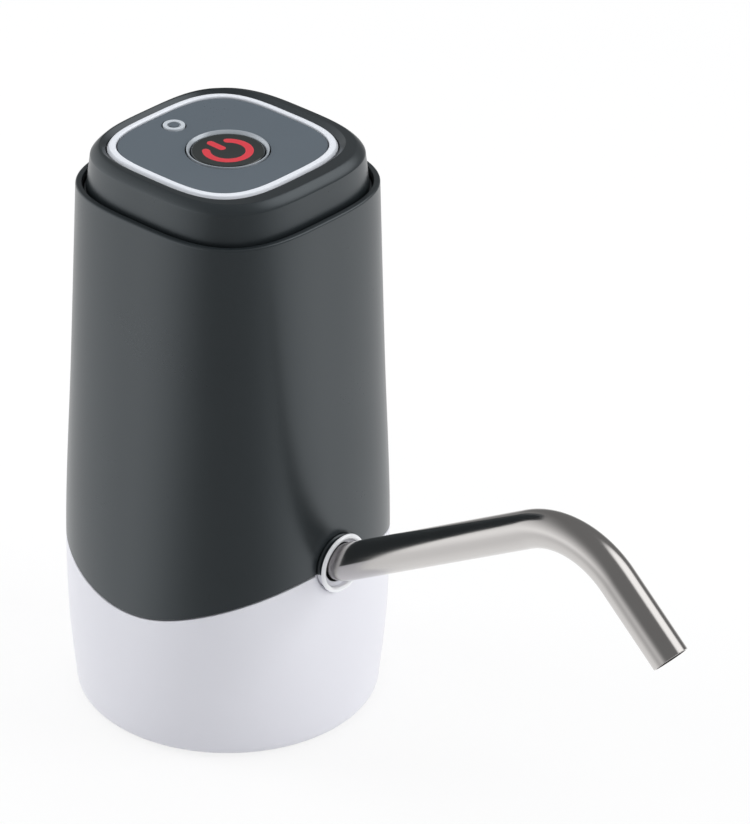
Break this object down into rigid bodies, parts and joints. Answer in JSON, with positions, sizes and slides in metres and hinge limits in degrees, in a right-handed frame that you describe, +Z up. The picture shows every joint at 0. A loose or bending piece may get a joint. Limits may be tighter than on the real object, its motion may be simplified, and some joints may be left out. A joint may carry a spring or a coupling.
{
  "type": "bottled water pump",
  "caption": "Battery pump for the neck of a large water bottle: white base, dark rounded-square sleeve, capped push-button panel and a bent steel spout that turns in a socket.",
  "frame": {"origin": "middle of the whole outline, spout included, on the plane that the base stands on", "axes": "+X the way the spout points, +Z up from the base's foot to the button, +Y to the left of the spout as it points away"},
  "size_m": [0.1681, 0.0704, 0.138],
  "materials": {
    "white_plastic": "satin white moulded plastic",
    "dark_plastic": "satin dark grey moulded plastic",
    "button_gloss": "glossy near-black with a red power symbol",
    "panel_grey": "smooth mid grey",
    "silver_trim": "bright satin silver",
    "stainless_steel": "polished stainless tube",
    "steel_pin": "ground steel",
    "black_rubber": "soft black rubber",
    "silicone": "milky silicone",
    "natural_plastic": "uncoloured moulded plastic",
    "board": "green coated board",
    "component_black": "black moulded plastic",
    "nickel": "nickel-plated sheet steel",
    "copper": "copper windings and segments",
    "ferrite": "dark grey ferrite",
    "battery_wrap": "blue shrink wrap",
    "light_lens": "translucent white",
    "red_wire": "red wire sleeve",
    "black_wire": "black wire sleeve"
  },
  "bodies": {
    "body": {"base_housing": "white_plastic", "battery_cell": "battery_wrap", "battery_holder": "natural_plastic", "battery_lead_minus": "black_wire", "battery_lead_plus": "red_wire", "battery_tab_bottom": "nickel", "battery_tab_top": "nickel", "button_bezel": "silver_trim", "capacitor": "nickel", "charge_coil": "ferrite", "charging_port": "nickel", "control_board": "board", "control_panel": "panel_grey", "diaphragm": "black_rubber", "driver_chip": "component_black", "fitting_nut": "natural_plastic", "frame_left": "natural_plastic", "frame_right": "natural_plastic", "indicator_led": "light_lens", "inlet_hose": "silicone", "motor_can": "nickel", "motor_end_bell": "component_black", "motor_lead_minus": "black_wire", "motor_lead_plus": "red_wire", "motor_magnet_back": "ferrite", "motor_magnet_front": "ferrite", "motor_terminal_minus": "nickel", "motor_terminal_plus": "nickel", "neck_liner": "silicone", "outlet_hose": "silicone", "outlet_valve": "silicone", "port_tongue": "component_black", "pump_cover": "component_black", "push_switch": "component_black", "socket_nut": "natural_plastic", "spout_socket": "white_plastic", "status_light": "light_lens", "status_light_core": "panel_grey", "suction_fitting": "natural_plastic", "swing_housing": "component_black", "top_cap": "dark_plastic", "trim_ring": "silver_trim", "upper_sleeve": "dark_plastic", "valve_plate": "natural_plastic"},
    "button": {"power_button": "button_gloss"},
    "plunger": {"switch_plunger": "white_plastic"},
    "rotor": {"motor_shaft": "steel_pin", "motor_armature": "copper", "motor_commutator": "copper", "eccentric": "natural_plastic", "needle_pin": "steel_pin"},
    "wobbler": {"wobble_plate": "natural_plastic"},
    "swivel": {"spout_seal": "black_rubber"},
    "spout_tube": {"spout": "stainless_steel"}
  },
  "joints": [
    {"name": "power_button_press", "type": "slide", "parent": "body", "child": "button", "axis": [0, 0, -1], "range_m": [0, 0.0005], "stiffness_N_per_m": 1000, "springref_m": -0.0005},
    {"name": "switch_plunger_press", "type": "slide", "parent": "body", "child": "plunger", "axis": [0, 0, -1], "range_m": [0, 0.0005]},
    {"name": "motor_spin", "type": "hinge", "parent": "body", "child": "rotor", "pos_m": [-0.04188, 0, 0.1], "axis": [0, 0, 1], "continuous": true, "deforming": ["diaphragm"]},
    {"name": "wobble_swing", "type": "hinge", "parent": "rotor", "child": "wobbler", "pos_m": [-0.04188, 0, 0.0775], "axis": [0.0958, 0, 0.9954], "continuous": true},
    {"name": "spout_swivel", "type": "hinge", "parent": "body", "child": "swivel", "pos_m": [-0.01938, 0, 0.0452], "axis": [1, 0, 0], "continuous": true},
    {"name": "spout_pull", "type": "slide", "parent": "swivel", "child": "spout_tube", "axis": [1, 0, 0], "range_m": [0, 0.01]}
  ],
  "couplings": [
    {"joint": "switch_plunger_press", "follows": "power_button_press", "ratio": 1},
    {"joint": "wobble_swing", "follows": "motor_spin", "ratio": -1}
  ]
}
